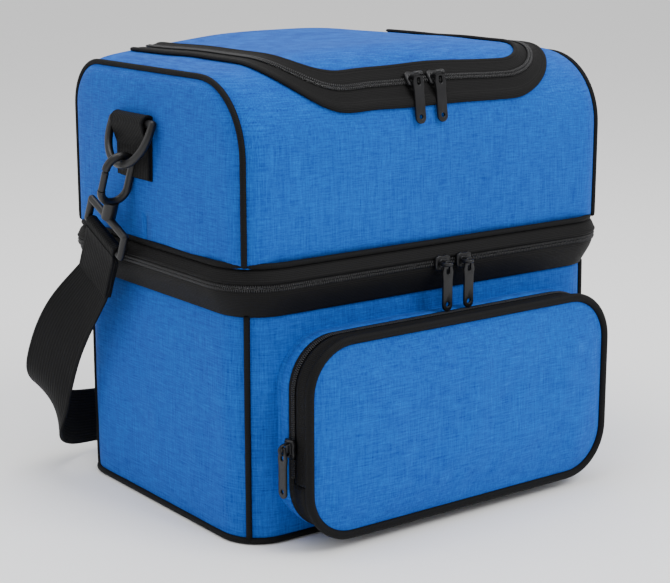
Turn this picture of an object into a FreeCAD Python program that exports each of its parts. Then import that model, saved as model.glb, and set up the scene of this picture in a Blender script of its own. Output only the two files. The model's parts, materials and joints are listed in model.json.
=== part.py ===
import FreeCAD, Part
import math
import os
import re
import sys
import Sketcher
from FreeCAD import Vector, Placement, Rotation

# Insulated two-compartment cooler bag.  Millimetres, +Z up, +X to the right,
# the front faces -Y, origin at the centre of the base on the ground.

SIZES = [
    ("lower_width", 280), ("lower_depth", 196), ("lower_height", 140),
    ("lower_corner", 25), ("band_height", 30), ("split_rise", 18),
    ("band_reach", 9), ("upper_over_side", 4), ("upper_over_front", 3),
    ("upper_rise", 119), ("crown_drop", 13), ("upper_corner", 20),
    ("front_round", 47), ("back_round", 33),
    ("skin", 1.4), ("foam", 6), ("liner", 1), ("seam_gap", 0.4),
    ("piping_width", 4), ("piping_proud", 1.4), ("seam_inset", 7),
    ("tape", 1.2), ("coil_width", 3), ("coil_thick", 1.8), ("coil_gap", 0.8),
    ("lid_width", 206), ("lid_reach", 153), ("lid_back", 66), ("lid_corner", 42),
    ("lid_tilt", 25), ("lid_tape", 9), ("lid_lap", 4),
    ("pocket_width", 236), ("pocket_low", 9), ("pocket_below", 13),
    ("pocket_gusset", 12), ("pocket_corner", 30), ("pocket_rear_tape", 3.2),
    ("pocket_front_tape", 10), ("pocket_piping", 6), ("piping_overhang", 2.5),
    ("pocket_front", 2), ("flap_start", 42), ("flap_gap", 1.6),
    ("web_width", 38), ("web_thick", 1.8), ("web_gap", 0.4), ("tab_centre", 9),
    ("tab_drop", 80), ("ring_drop", 45), ("ring_wire", 2.5), ("ring_half", 23.5),
    ("ring_leg", 4), ("ring_tilt", 20),
    ("slider_length", 10), ("slider_high", 8), ("slider_thick", 4), ("slider_gap", 0.3),
    ("slider_pitch", 17), ("mid_slider_shift", 6), ("lid_slider_shift", 7),
    ("cheek_gap", 7), ("cheek_thick", 1.2), ("pin_radius", 0.8), ("pin_play", 0.3),
    ("pin_stand", 7.5), ("knuckle_radius", 2.2), ("pull_length", 29), ("pull_width", 6.4),
    ("pull_thick", 1.8), ("pull_hole", 1.8), ("lid_slider_tilt", 34), ("lid_pull_lean", 8),
    ("pocket_slider_height", 64), ("hook_wire", 2.5), ("hook_half", 9), ("hook_straight", 15),
    ("hook_play", 1.2), ("hook_lean", 25), ("neck_radius", 4.5), ("neck_length", 12),
    ("base_half", 22), ("base_drop", 14), ("gate_radius", 2.2), ("gate_gap", 0.4),
    ("strap_clear", 32), ("adjuster_half", 24), ("adjuster_wire", 2),
    ("hinge_reach", 6.5),
    ("band_split", "=lower_height + split_rise"),
    ("upper_width", "=lower_width + 2 * upper_over_side"),
    ("upper_depth", "=lower_depth + 2 * upper_over_front"),
    ("upper_top", "=lower_height + band_height + upper_rise"),
    ("pocket_high", "=lower_height - pocket_below"),
    ("ring_height", "=upper_top - ring_drop"),
    ("tab_low", "=upper_top - tab_drop"),
]
ALIASES = {alias for alias, _ in SIZES}

doc = FreeCAD.newDocument("cooler_bag")
sheet = doc.addObject("Spreadsheet::Sheet", "Sizes")
for row, (alias, value) in enumerate(SIZES, start=1):
    sheet.set("A%d" % row, alias)
    sheet.set("B%d" % row, str(value))
    sheet.setAlias("B%d" % row, alias)
doc.recompute()

nodes = []


def size(expression):
    """Value of an expression over the sheet's aliases, written without the sheet's name."""
    return float(sheet.evalExpression(bound(expression)))


def bound(expression):
    """The same expression with every alias given its sheet's name."""
    return re.sub(r"[a-z_]+", lambda word: "Sizes." + word[0] if word[0] in ALIASES else word[0], expression)


def bind(thing, **expressions):
    for name, expression in expressions.items():
        thing.setExpression(name.replace("__", "."), bound(expression))


def node(thing, label):
    thing.Label = label
    nodes.append(thing)
    return thing


def new_body(name):
    return doc.addObject("PartDesign::Body", name)


def sketch_on(body, role, offset="0"):
    sketch = body.newObject("Sketcher::SketchObject", body.Name + "_sketch")
    plane = [feature for feature in body.Origin.OriginFeatures if feature.Role == role][0]
    sketch.AttachmentSupport = [(plane, "")]
    sketch.MapMode = "FlatFace"
    bind(sketch, AttachmentOffset__Base__z=offset)
    return sketch


def rounded_rectangle(sketch, left, right, low, high, radii):
    """Closed outline between four bound lines.

    radii are expressions for the corners low-left, low-right, high-right and high-left;
    "0" leaves the corner sharp."""
    x0, x1, y0, y1 = size(left), size(right), size(low), size(high)
    r = [size(radius) for radius in radii]
    corners = [(x0, y0, 1, 1), (x1, y0, -1, 1), (x1, y1, -1, -1), (x0, y1, 1, -1)]
    starts, ends = [], []
    for index, (x, y, sx, sy) in enumerate(corners):
        along_x, along_y = Vector(x + sx * r[index], y, 0), Vector(x, y + sy * r[index], 0)
        first, second = (along_y, along_x) if index % 2 == 0 else (along_x, along_y)
        starts.append(first)
        ends.append(second)
    lines = []
    for index in range(4):
        lines.append(sketch.addGeometry(Part.LineSegment(ends[index], starts[(index + 1) % 4]), False))
    for index, (x, y, sx, sy) in enumerate(corners):
        before, after = lines[index - 1], lines[index]
        if r[index] <= 0:
            sketch.addConstraint(Sketcher.Constraint("Coincident", before, 2, after, 1))
            continue
        centre = Vector(x + sx * r[index], y + sy * r[index], 0)
        middle = centre - Vector(sx, sy, 0) * (r[index] / math.sqrt(2))
        arc = sketch.addGeometry(Part.Arc(starts[index], middle, ends[index]), False)
        first_end, last_end = 1, 2
        if sketch.Geometry[arc].StartPoint.distanceToPoint(starts[index]) > 1e-6:
            first_end, last_end = 2, 1
        sketch.addConstraint(Sketcher.Constraint("Tangent", before, 2, arc, first_end))
        sketch.addConstraint(Sketcher.Constraint("Tangent", arc, last_end, after, 1))
        driven = sketch.addConstraint(Sketcher.Constraint("Radius", arc, r[index]))
        sketch.setExpression("Constraints[%d]" % driven, bound(radii[index]))
    for index, kind in enumerate(("Horizontal", "Vertical", "Horizontal", "Vertical")):
        sketch.addConstraint(Sketcher.Constraint(kind, lines[index]))
    for line, kind, value in ((0, "DistanceY", low), (1, "DistanceX", right),
                              (2, "DistanceY", high), (3, "DistanceX", left)):
        driven = sketch.addConstraint(Sketcher.Constraint(kind, -1, 1, lines[line], 1, size(value)))
        sketch.setExpression("Constraints[%d]" % driven, bound(value))
    return sketch


def pad(body, sketch, length, midplane=False, reverse=False):
    feature = body.newObject("PartDesign::Pad", body.Name + "_pad")
    feature.Profile = sketch
    feature.Midplane = midplane
    feature.Reversed = reverse
    bind(feature, Length=length)
    return feature


def upright(name, left, right, front, back, radius, low, high):
    """Block with a rounded plan, between two heights."""
    body = new_body(name)
    sketch = rounded_rectangle(sketch_on(body, "XY_Plane", low), left, right, front, back, [radius] * 4)
    pad(body, sketch, "(" + high + ") - (" + low + ")")
    return body


def centred(name, half_x, half_y, radius, low, high):
    """Block with a rounded plan, centred on the bag."""
    return upright(name, "0 - (" + half_x + ")", half_x, "0 - (" + half_y + ")", half_y, radius, low, high)


def box(name, x, y, z, length, width, height):
    solid = doc.addObject("Part::Box", name)
    bind(solid, Length=length, Width=width, Height=height,
         Placement__Base__x=x, Placement__Base__y=y, Placement__Base__z=z)
    return solid


def cylinder(name, radius, height, base, direction=(0, 0, 1)):
    solid = doc.addObject("Part::Cylinder", name)
    solid.Placement = Placement(Vector(0, 0, 0), Rotation(Vector(0, 0, 1), Vector(*direction)))
    bind(solid, Radius=radius, Height=height, Placement__Base__x=base[0],
         Placement__Base__y=base[1], Placement__Base__z=base[2])
    return solid


def cut(name, base, tool):
    result = doc.addObject("Part::Cut", name)
    result.Base = base
    result.Tool = tool
    return result


def common(name, *shapes):
    result = doc.addObject("Part::MultiCommon", name)
    result.Shapes = list(shapes)
    return result


def fuse(name, *shapes):
    result = doc.addObject("Part::MultiFuse", name)
    result.Shapes = list(shapes)
    return result


# ---------------------------------------------------------------- lower compartment

def lower_block(name, inset, low, high):
    return centred(name, "lower_width / 2 - (" + inset + ")", "lower_depth / 2 - (" + inset + ")",
                   "lower_corner - (" + inset + ")", low, high)


def slab(name, side, inner, outer, low="0 - 20", high="400"):
    """Everything between two distances from the middle plane, left (-1), right (1) or both (0)."""
    wide = "(" + outer + ") - (" + inner + ")"
    start = inner if side > 0 else "0 - (" + outer + ")"
    return box(name, start, "0 - 200", low, wide, "400", "(" + high + ") - (" + low + ")")


def make_lower():
    wall_top = "band_split - 1.5"
    in_foam = "skin + foam"
    in_liner = "skin + foam + liner"
    base = lower_block("base_solid", "piping_width", "0", "skin")
    node(base, "base_panel")
    shell = cut("lower_shell", lower_block("lower_outer", "0", "piping_width", "lower_height - seam_gap / 4"),
                lower_block("lower_outer_void", "skin", "0 - 1", "lower_height + 5"))
    seam = "lower_width / 2 - seam_inset"
    half = "piping_width / 2"
    front_half = box("lower_front_half", "0 - 200", "0 - 200", "0 - 5", "400", "200", "200")
    back_half = box("lower_back_half", "0 - 200", "0", "0 - 5", "400", "200", "200")
    inner = "(" + seam + ") - (" + half + ")"
    middle = box("lower_middle", "0 - (" + inner + ")", "0 - 200", "0 - 5", "2 * (" + inner + ")", "400", "200")
    node(common("lower_front_solid", shell, middle, front_half), "lower_front_panel")
    node(common("lower_back_solid", shell, middle, back_half), "lower_back_panel")
    for side, word in ((-1, "left"), (1, "right")):
        end = slab("lower_end_" + word, side, "(" + seam + ") + (" + half + ")", "200")
        node(common("lower_%s_solid" % word, shell, end), "lower_%s_panel" % word)
    ridge = cut("lower_ridge", lower_block("lower_ridge_outer", "0 - piping_proud", "piping_width", "lower_height - seam_gap / 4"),
                lower_block("lower_ridge_void", "skin", "0 - 1", "lower_height + 5"))
    strips = fuse("lower_seam_slabs",
                  slab("lower_seam_left", -1, inner, "(" + seam + ") + (" + half + ")"),
                  slab("lower_seam_right", 1, inner, "(" + seam + ") + (" + half + ")"))
    node(common("lower_corner_piping_solid", ridge, strips), "lower_corner_piping")
    rim = cut("base_piping_solid", lower_block("base_piping_outer", "0 - piping_proud", "0", "piping_width"),
              lower_block("base_piping_void", "piping_width", "0 - 1", "piping_width + 1"))
    node(rim, "base_piping")
    foam = cut("lower_foam_solid", lower_block("lower_foam_outer", "skin", "piping_width", wall_top),
               lower_block("lower_foam_void", in_foam, "piping_width + foam", "300"))
    node(foam, "lower_foam")
    base_foam = lower_block("base_foam_solid", "piping_width", "skin", "piping_width")
    node(base_foam, "base_board")
    lining = cut("lower_liner_solid",
                 lower_block("lower_liner_outer", in_foam, "piping_width + foam", wall_top),
                 lower_block("lower_liner_void", in_liner, "piping_width + foam + liner", "300"))
    node(lining, "lower_liner")


def band_block(name, reach, low, high):
    return centred(name, "lower_width / 2 + (" + reach + ")", "lower_depth / 2 + (" + reach + ")",
                   "lower_corner + (" + reach + ")", low, high)


def upper_plan(name, inset, low, high):
    return centred(name, "upper_width / 2 - (" + inset + ")", "upper_depth / 2 - (" + inset + ")",
                   "upper_corner - (" + inset + ")", low, high)


def make_band():
    """The zip band: black tapes and half a coil on each side of the split, open at the back."""
    back_line = "lower_depth / 2 - lower_corner / 2"
    front = box("band_front_side", "0 - 200", "0 - 200", "0", "400", "200 + " + back_line, "400")
    low = "lower_height"
    half_gap = "coil_gap / 2"
    block = band_block("tape_lower_block", "band_reach", low, "band_split - coil_width / 2 - (" + half_gap + ")")
    taper = block.newObject("PartDesign::Chamfer", "tape_lower_chamfer")
    doc.recompute()
    pad_feature = block.Group[1]
    edges = []
    for index, edge in enumerate(pad_feature.Shape.Edges, start=1):
        if edge.BoundBox.ZMax < size(low) + 0.01:
            edges.append("Edge%d" % index)
    taper.Base = (pad_feature, edges)
    bind(taper, Size="band_reach - 1")
    block.Tip = taper
    tape_low = cut("tape_lower_ring", block,
                   lower_block("tape_lower_void", "skin - 1.4", "0", "band_split + 5"))
    node(common("mid_tape_lower_solid", tape_low, front), "mid_zip_tape_lower")
    coil_low = cut("coil_lower_ring",
                   band_block("coil_lower_block", "band_reach", "band_split - coil_width / 2 - (" + half_gap + ")", "band_split - (" + half_gap + ")"),
                   band_block("coil_lower_void", "band_reach - coil_thick", "0", "300"))
    node(common("mid_coil_lower_solid", coil_low, front), "mid_coil_lower")
    coil_up = cut("coil_upper_ring",
                  band_block("coil_upper_block", "band_reach", "band_split + (" + half_gap + ")", "band_split + coil_width / 2 + (" + half_gap + ")"),
                  band_block("coil_upper_void", "band_reach - coil_thick", "0", "300"))
    node(common("mid_coil_upper_solid", coil_up, front), "mid_coil_upper")
    tape_high = cut("tape_upper_ring",
                    band_block("tape_upper_block", "band_reach", "band_split + coil_width / 2 + (" + half_gap + ")",
                               "lower_height + band_height - piping_width / 2"),
                    upper_plan("tape_upper_void", "skin", "0", "300"))
    node(common("mid_tape_upper_solid", tape_high, front), "mid_zip_tape_upper")
    binding = cut("mid_binding_solid",
                  band_block("mid_binding_block", "band_reach - 1", "lower_height + band_height - piping_width / 2",
                             "lower_height + band_height"),
                  upper_plan("mid_binding_void", "skin", "0", "300"))
    node(common("mid_binding_front", binding, front), "mid_binding")
    back = box("band_back_side", "0 - 200", back_line, "0", "400", "200", "400")
    strip = cut("rear_strip_ring", band_block("rear_strip_block", "hinge_reach", low, "band_split - (" + half_gap + ")"),
                lower_block("rear_strip_void", "0", "0", "300"))
    node(common("rear_hinge_lower_solid", strip, back), "rear_hinge_lower")
    top_strip = cut("rear_top_ring", band_block("rear_top_block", "hinge_reach", "band_split + (" + half_gap + ")",
                                                "lower_height + band_height"),
                    upper_plan("rear_top_void", "skin", "0", "300"))
    node(common("rear_hinge_upper_solid", top_strip, back), "rear_hinge_upper")


# ---------------------------------------------------------------- upper compartment

def crowned_block(name, inset, low):
    """Loft of three side profiles, the middle one taller, so that the top crowns along X."""
    body = new_body(name)
    half = "upper_depth / 2 - (" + inset + ")"
    radii = ["0", "0", "back_round - (" + inset + ")", "front_round - (" + inset + ")"]
    sketches = []
    for place, drop in ((-1, "crown_drop"), (0, "0"), (1, "crown_drop")):
        offset = "%g * (upper_width / 2 - (" % place + inset + "))"
        sketch = sketch_on(body, "YZ_Plane", offset)
        top = "upper_top - (" + drop + ") - (" + inset + ")"
        sketches.append(rounded_rectangle(sketch, "0 - (" + half + ")", half, low, top, radii))
    loft = body.newObject("PartDesign::AdditiveLoft", name + "_loft")
    loft.Profile = sketches[0]
    loft.Sections = sketches[1:]
    return body


def upper_block(name, inset, low):
    return common(name, crowned_block(name + "_loft", inset, low),
                  upper_plan(name + "_plan", inset, low, "upper_top + 20"))


def lid_tool(name, grow):
    """Prism that cuts the lid out of the top, leaning so that the front edge opens freely."""
    body = new_body(name)
    half = "lid_width / 2 + (" + grow + ")"
    sketch = rounded_rectangle(sketch_on(body, "XY_Plane", "0 - 30"), "0 - (" + half + ")", half,
                               "0 - lid_reach - (" + grow + ")", grow,
                               ["lid_corner + (" + grow + ")"] * 2 + ["0", "0"])
    pad(body, sketch, "100")
    body.Placement = Placement(Vector(0, 0, 0), Rotation(Vector(1, 0, 0), size("lid_tilt")))
    bind(body, Placement__Base__y="lid_back", Placement__Base__z="upper_top + 1")
    return body


def make_upper():
    low = "band_split + 1.5"
    skin_low = "lower_height + band_height + seam_gap / 4"
    in_foam = "skin + foam"
    in_liner = "skin + foam + liner"
    seam = "upper_width / 2 - seam_inset"
    inner = "(" + seam + ") - piping_width / 2"
    outer = "(" + seam + ") + piping_width / 2"
    hole = lid_tool("lid_hole", "coil_gap")
    lid_cut = lid_tool("lid_cut", "0")
    tape_out = lid_tool("lid_tape_out", "coil_gap + lid_tape")
    tape_in = lid_tool("lid_tape_in", "0 - lid_tape")
    coil_out = lid_tool("lid_coil_out", "coil_gap + coil_width / 2")
    coil_in = lid_tool("lid_coil_in", "0 - coil_width / 2")
    lap = lid_tool("lid_lap_tool", "0 - lid_lap")
    whole = upper_block("upper_whole", "0", skin_low)
    inside_skin = upper_block("upper_inside_skin", "skin", low)
    shell = cut("upper_shell", whole, upper_block("upper_skin_void", "skin", "0"))
    middle = box("upper_middle", "0 - (" + inner + ")", "0 - 200", "0", "2 * (" + inner + ")", "400", "400")
    wrap = common("upper_wrap_shell", shell, middle)
    node(cut("upper_wrap_solid", wrap, tape_out), "upper_wrap_panel")
    for side, word in ((-1, "left"), (1, "right")):
        node(common("upper_%s_solid" % word, shell, slab("upper_end_" + word, side, outer, "200")),
             "upper_%s_panel" % word)
        ridge = cut("upper_ridge_" + word, upper_block("upper_ridge_outer_" + word, "0 - piping_proud", skin_low),
                    upper_block("upper_ridge_void_" + word, "skin", "0"))
        node(common("upper_piping_solid_" + word, ridge, slab("upper_seam_" + word, side, inner, outer)),
             "upper_piping_" + word)
    # body side of the lid zip
    ring = common("lid_body_ring", shell, tape_out)
    outside_coil = cut("lid_body_tape_all", ring, coil_out)
    node(outside_coil, "lid_zip_tape_body")
    front_only = box("lid_coil_front", "0 - 200", "0 - 200", "0", "400", "200 + lid_back - 2", "400")
    node(common("lid_coil_body_solid", cut("lid_body_coil_ring", common("lid_body_coil", shell, coil_out), hole),
                front_only), "lid_coil_body")
    foam = cut("upper_foam_walls", inside_skin, upper_block("upper_foam_void", in_foam, "0"))
    node(cut("upper_foam_solid", foam, hole), "upper_foam")
    lining = cut("upper_liner_walls", upper_block("upper_liner_outer", in_foam, low),
                 upper_block("upper_liner_void", in_liner, "0"))
    node(cut("upper_liner_solid", lining, hole), "upper_liner")
    floor = upper_block("divider_block", in_liner, low)
    node(common("divider_foam_solid", floor,
                box("divider_cut", "0 - 200", "0 - 200", low, "400", "400", "foam + 2 * liner")), "divider_panel")
    # the lid itself
    lid_skin = common("lid_skin_area", shell, tape_in)
    node(lid_skin, "lid_panel")
    lid_ring = cut("lid_ring_area", common("lid_area", shell, coil_in), tape_in)
    node(lid_ring, "lid_zip_tape_lid")
    node(common("lid_coil_lid_solid", cut("lid_coil_ring", common("lid_coil_area", shell, lid_cut), coil_in),
                front_only), "lid_coil_lid")
    node(common("lid_foam_solid", foam, lap), "lid_foam")
    node(common("lid_liner_solid", lining, lap), "lid_liner")
    return foam


# ---------------------------------------------------------------- front pocket

def pocket_block(name, inset, near, far):
    """Rounded slab of the pocket's outline; near and far are distances in front of the bag."""
    body = new_body(name)
    half = "pocket_width / 2 - (" + inset + ")"
    sketch = rounded_rectangle(sketch_on(body, "XZ_Plane", "lower_depth / 2 + (" + near + ")"),
                               "0 - (" + half + ")", half, "pocket_low + (" + inset + ")",
                               "pocket_high - (" + inset + ")", ["pocket_corner - (" + inset + ")"] * 4)
    pad(body, sketch, "(" + far + ") - (" + near + ")")
    return body


def pocket_ring(name, inset, depth, near, far):
    return cut(name, pocket_block(name + "_outer", inset, near, far),
               pocket_block(name + "_inner", "(" + inset + ") + (" + depth + ")", "(" + near + ") - 1", "(" + far + ") + 1"))


def make_pocket():
    rear = "pocket_gusset + pocket_rear_tape"
    coil = "coil_thick"
    flap = rear + " + " + coil + " + coil_gap"
    front = flap + " + " + coil + " + pocket_front_tape"
    node(pocket_ring("pocket_gusset_ring", "0", "skin", "0", "pocket_gusset"), "pocket_gusset")
    node(pocket_ring("pocket_tape_rear_ring", "0", "tape", "pocket_gusset", rear), "pocket_zip_tape_rear")
    upper_part = box("pocket_above", "0 - 200", "0 - 200", "flap_start + seam_gap", "400", "200", "200")
    lower_part = box("pocket_below", "0 - 200", "0 - 200", "0", "400", "200", "flap_start")
    node(common("pocket_coil_rear_part", pocket_ring("pocket_coil_rear_ring", "0 - 1", "coil_thick", rear, rear + " + " + coil),
                upper_part), "pocket_coil_rear")
    node(common("pocket_base_part", pocket_ring("pocket_base_ring", "0", "skin", rear, front + " - flap_gap"),
                lower_part), "pocket_base_strip")
    node(common("pocket_coil_front_part", pocket_ring("pocket_coil_front_ring", "0 - 1", "coil_thick", flap, flap + " + " + coil),
                upper_part), "pocket_coil_front")
    node(common("pocket_tape_front_part", pocket_ring("pocket_tape_front_ring", "0", "tape", flap + " + " + coil, front),
                upper_part), "pocket_zip_tape_front")
    node(pocket_ring("pocket_piping_ring", "0 - piping_overhang", "pocket_piping", front, front + " + pocket_piping"),
         "pocket_piping")
    node(pocket_block("pocket_front_block", "pocket_piping - piping_overhang", front, front + " + pocket_front"),
         "pocket_front_panel")


# ---------------------------------------------------------------- zip sliders and pulls

def turned(thing, x, y, z, rotation):
    thing.Placement = Placement(Vector(0, 0, 0), rotation)
    bind(thing, Placement__Base__x=x, Placement__Base__y=y, Placement__Base__z=z)
    return thing


def slider(word, x, y, z, rotation):
    """Slider whose own -Y points away from the coil and whose pin runs along its own X."""
    body = box(word + "_body", "0 - slider_length / 2", "0 - slider_gap - slider_thick", "0 - slider_high / 2",
               "slider_length", "slider_thick", "slider_high")
    cheeks = []
    reach = "pin_stand + 1 - slider_gap - slider_thick"
    for side in ("0 - cheek_gap / 2 - cheek_thick", "cheek_gap / 2"):
        cheeks.append(box(word + "_cheek%d" % len(cheeks), side, "0 - pin_stand - 1", "0 - 1.5",
                          "cheek_thick", reach, "3"))
    pin = cylinder(word + "_pin", "pin_radius", "cheek_gap + cheek_thick",
                   ("0 - cheek_gap / 2 - cheek_thick / 2", "0 - pin_stand", "0"), (1, 0, 0))
    return node(turned(fuse(word + "_slider_solid", body, pin, *cheeks), x, y, z, rotation), word + "_slider")


def pull(word, x, y, z, rotation):
    """Hanging tab with a knuckle round the slider's pin and a round hole near its free end."""
    knuckle = cylinder(word + "_knuckle", "knuckle_radius", "pull_width", ("0 - pull_width / 2", "0", "0"), (1, 0, 0))
    plate = box(word + "_plate", "0 - pull_width / 2", "0 - pull_thick / 2", "0 - pull_length + pull_width / 2",
                "pull_width", "pull_thick", "pull_length - pull_width / 2")
    tip = cylinder(word + "_tip", "pull_width / 2", "pull_thick",
                   ("0", "0 - pull_thick / 2", "0 - pull_length + pull_width / 2"), (0, 1, 0))
    hole = cylinder(word + "_hole", "pull_hole", "10", ("0", "0 - 5", "0 - pull_length + pull_width / 2"), (0, 1, 0))
    bore = cylinder(word + "_bore", "pin_radius + pin_play", "20", ("0 - 10", "0", "0"), (1, 0, 0))
    solid = cut(word + "_pull_solid", fuse(word + "_pull_whole", knuckle, plate, tip), fuse(word + "_pull_holes", hole, bore))
    return node(turned(solid, x, y, z, rotation), word + "_pull")


def make_sliders():
    straight = Rotation()
    about_x = Vector(1, 0, 0)
    front = "0 - lower_depth / 2 - band_reach"
    for side, word in ((-1, "mid_left"), (1, "mid_right")):
        x = "mid_slider_shift + %g * slider_pitch / 2" % side
        slider(word, x, front, "band_split", straight)
        pull(word, x, front + " - pin_stand", "band_split", straight)
    tilt = size("lid_slider_tilt")
    centre_y = "0 - upper_depth / 2 + front_round"
    centre_z = "upper_top - front_round"
    lean = "lid_slider_tilt * 1 deg"
    for side, word in ((-1, "lid_left"), (1, "lid_right")):
        x = "0 - lid_slider_shift + %g * slider_pitch / 2" % side
        reach = "front_round + slider_gap"
        slider(word, x, centre_y + " - (" + reach + ") * cos(" + lean + ")",
               centre_z + " + (" + reach + ") * sin(" + lean + ")", Rotation(about_x, -tilt))
        reach = "front_round + slider_gap + pin_stand"
        pull(word, x, centre_y + " - (" + reach + ") * cos(" + lean + ")",
             centre_z + " + (" + reach + ") * sin(" + lean + ")", Rotation(about_x, -size("lid_pull_lean")))
    side_x = "0 - pocket_width / 2 - 1"
    coil_y = "0 - lower_depth / 2 - pocket_gusset - pocket_rear_tape - coil_thick - coil_gap / 2"
    quarter = Rotation(Vector(0, 0, 1), -90)
    slider("pocket", side_x, coil_y, "pocket_slider_height", quarter)
    pull("pocket", side_x + " - pin_stand", coil_y, "pocket_slider_height", quarter)


# ---------------------------------------------------------------- strap and its fittings

def ring_x(side):
    return "%g * (upper_width / 2 + web_thick + web_gap + ring_wire)" % side


def make_tab(side, word):
    x = ring_x(side)
    y0 = "tab_centre - web_width / 2"
    inner = "upper_width / 2" if side > 0 else "0 - upper_width / 2 - web_thick"
    flat = box("tab_flat_" + word, inner, y0, "tab_low", "web_thick", "web_width", "ring_height - tab_low")
    outer = "upper_width / 2 + web_thick + 2 * web_gap + 2 * ring_wire"
    outer = outer if side > 0 else "0 - (" + outer + ") - web_thick"
    fold = cylinder("tab_fold_" + word, "ring_wire + web_gap + web_thick", "web_width", (x, y0, "ring_height"), (0, 1, 0))
    bore = cylinder("tab_bore_" + word, "ring_wire + web_gap", "web_width + 2", (x, y0 + " - 1", "ring_height"), (0, 1, 0))
    lip = box("tab_lip_" + word, outer, y0, "ring_height - 12", "web_thick", "web_width", "12")
    whole = fuse("tab_whole_" + word, flat, fold, lip)
    node(cut("tab_solid_" + word, whole, bore), "ring_tab_" + word)


def make_ring(side, word):
    """D ring: a straight bar inside the tab, two short legs and a half circle."""
    name = "ring_" + word
    bar = cylinder(name + "_bar", "ring_wire", "2 * ring_half", ("0", "0 - ring_half", "0"), (0, 1, 0))
    pieces = [bar]
    for hand, y in (("near", "0 - ring_half"), ("far", "ring_half")):
        leg = cylinder("%s_leg_%s" % (name, hand), "ring_wire", "ring_leg", ("0", y, "0 - ring_leg"))
        ball = doc.addObject("Part::Sphere", "%s_ball_%s" % (name, hand))
        bind(ball, Radius="ring_wire", Placement__Base__y=y)
        pieces += [leg, ball]
    bow = doc.addObject("Part::Torus", name + "_bow")
    bow.Angle3 = 180
    bow.Placement = Placement(Vector(0, 0, 0), Rotation(Vector(0, -1, 0), Vector(0, 0, -1), Vector(1, 0, 0), "ZXY"))
    bind(bow, Radius1="ring_half", Radius2="ring_wire", Placement__Base__z="0 - ring_leg")
    pieces.append(bow)
    solid = turned(fuse(name + "_solid", *pieces), ring_x(side), "tab_centre", "ring_height",
                   Rotation(Vector(0, 1, 0), -side * size("ring_tilt")))
    node(solid, "d_ring_" + word)


def hook_place(thing, side):
    drop = "(ring_leg + ring_half)"
    tilt = "ring_tilt * 1 deg"
    x = ring_x(side) + " + %g * " % side + drop + " * sin(" + tilt + ")"
    z = "ring_height - " + drop + " * cos(" + tilt + ")"
    return turned(thing, x, "tab_centre", z, Rotation(Vector(1, 0, 0), size("hook_lean")))


def half_torus(name, z, downwards):
    turn = doc.addObject("Part::Torus", name)
    turn.Angle3 = 180
    up = Vector(0, 0, -1) if downwards else Vector(0, 0, 1)
    turn.Placement = Placement(Vector(0, 0, 0), Rotation(Vector(1, 0, 0), up, Vector(1, 0, 0).cross(up), "XYZ"))
    bind(turn, Radius1="hook_half", Radius2="hook_wire", Placement__Base__z=z)
    return turn


def make_hook(side, word):
    """Snap hook hung on the D ring: its own -Z runs down its length."""
    name = "hook_" + word
    top = "ring_wire + hook_wire + hook_play - hook_half"
    low = top + " - hook_straight"
    spine_x = "%g * hook_half" % -side
    pieces = [half_torus(name + "_crest", top, False), half_torus(name + "_heel", low, True),
              cylinder(name + "_spine", "hook_wire", "hook_straight", (spine_x, "0", low))]
    neck_top = low + " - hook_half"
    neck_low = neck_top + " - neck_length"
    pieces.append(cylinder(name + "_neck", "neck_radius", "neck_length", ("0", "0", neck_low)))
    base_low = neck_low + " - base_drop"
    for z, hand in ((neck_low, "top"), (base_low, "bottom")):
        pieces.append(cylinder("%s_base_%s" % (name, hand), "hook_wire", "2 * base_half", ("0", "0 - base_half", z), (0, 1, 0)))
    for y, hand in (("0 - base_half", "near"), ("base_half", "far")):
        pieces.append(cylinder("%s_base_%s" % (name, hand), "hook_wire", "base_drop", ("0", y, base_low)))
        for z, end in ((neck_low, "upper"), (base_low, "lower")):
            ball = doc.addObject("Part::Sphere", "%s_ball_%s_%s" % (name, hand, end))
            bind(ball, Radius="hook_wire", Placement__Base__y=y, Placement__Base__z=z)
            pieces.append(ball)
    node(hook_place(fuse(name + "_solid", *pieces), side), "snap_hook_" + word)
    rod = cylinder(name + "_gate", "gate_radius", "hook_straight - 2 * gate_gap - gate_radius",
                   ("%g * hook_half" % side, "0", low + " + gate_gap"))
    nose = doc.addObject("Part::Sphere", name + "_gate_nose")
    bind(nose, Radius="gate_radius", Placement__Base__x="%g * hook_half" % side,
         Placement__Base__z=top + " - gate_gap - gate_radius")
    node(hook_place(fuse(name + "_gate_solid", rod, nose), side), "hook_gate_" + word)


def strap_stations():
    """Centre points and width directions of the webbing, from the left hook to the middle."""
    lean = math.radians(size("hook_lean"))
    side = -size("upper_width / 2 + web_thick + web_gap + ring_wire")
    side -= size("ring_leg + ring_half") * math.sin(math.radians(size("ring_tilt")))
    top = size("ring_wire + hook_wire + hook_play - hook_half - hook_straight - hook_half - neck_length - base_drop")
    top -= size("strap_clear")
    drop = size("ring_height") - size("ring_leg + ring_half") * math.cos(math.radians(size("ring_tilt")))
    start = Vector(side, size("tab_centre") - top * math.sin(lean), drop + top * math.cos(lean))
    back = size("lower_depth / 2")
    edge = -size("lower_width / 2")
    rise = size("web_width / 2")
    return [(start, Vector(0, math.cos(lean), math.sin(lean))),
            (Vector(edge - 27, back - 32, 112), Vector(0, 0.9, 0.43)),
            (Vector(edge - 29, back - 14, 85), Vector(-0.1, 0.85, 0.5)),
            (Vector(edge - 25, back + 3, 57), Vector(-0.2, 0.65, 0.72)),
            (Vector(edge - 8, back + 17, 32), Vector(0, 0.3, 0.95)),
            (Vector(edge + 24, back + 25, rise + 6), Vector(0, 0.05, 1)),
            (Vector(edge + 80, back + 23, rise + 4), Vector(0, 0, 1)),
            (Vector(0, back + 22, rise + 4), Vector(0, 0, 1))]


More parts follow.
